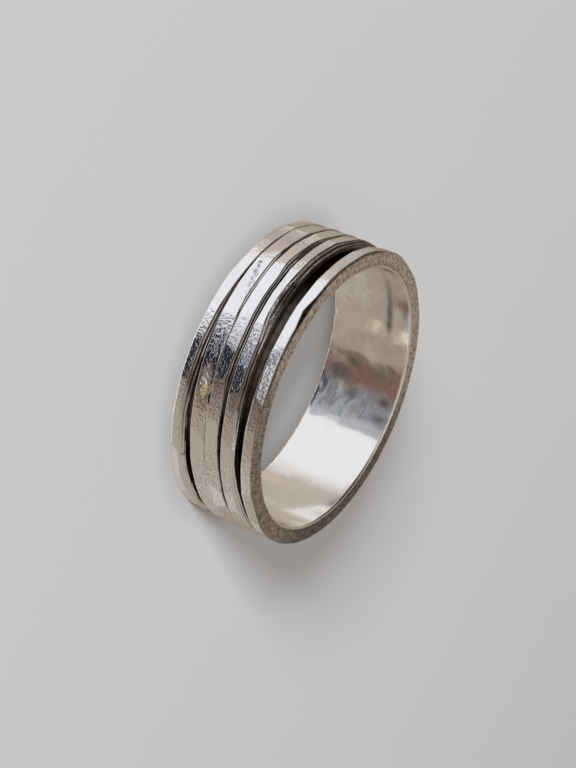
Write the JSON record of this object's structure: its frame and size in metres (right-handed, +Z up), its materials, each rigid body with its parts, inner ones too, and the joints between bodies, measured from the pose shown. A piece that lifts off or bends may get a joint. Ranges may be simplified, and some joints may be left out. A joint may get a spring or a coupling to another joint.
{
  "type": "spinner ring",
  "caption": "Hammered silver spinner ring lying on its side: a grooved band with soldered rims carries narrow loose rings that spin in its channel.",
  "frame": {"origin": "on the finger hole's axis, in the plane of the lower side face that the ring lies on", "axes": "+Z up along the finger hole, -Y towards the side that the picture shows nearest, X across"},
  "size_m": [0.0208, 0.021, 0.0063],
  "materials": {
    "band_silver": "sterling silver: hammered rims, filed side faces, polished finger hole, dark tarnished channel",
    "hammered_silver": "sterling silver, hammered into flats and softly polished, with fine pits and scratches"
  },
  "bodies": {
    "band": {"base_band": "band_silver"},
    "lower_spinner": {"spinner_lower": "hammered_silver"},
    "middle_spinner": {"spinner_middle": "hammered_silver"},
    "upper_spinner": {"spinner_upper": "hammered_silver"}
  },
  "joints": [
    {"name": "lower_spin", "type": "hinge", "parent": "band", "child": "lower_spinner", "pos_m": [0, 0, 0.00208], "axis": [-0.0446, -0.0312, 0.9985], "continuous": true},
    {"name": "middle_spin", "type": "hinge", "parent": "band", "child": "middle_spinner", "pos_m": [0, 0, 0.0032], "axis": [-0.0434, -0.0304, 0.9986], "continuous": true},
    {"name": "upper_spin", "type": "hinge", "parent": "band", "child": "upper_spinner", "pos_m": [0, 0, 0.00439], "axis": [-0.0352, -0.0246, 0.9991], "continuous": true}
  ]
}
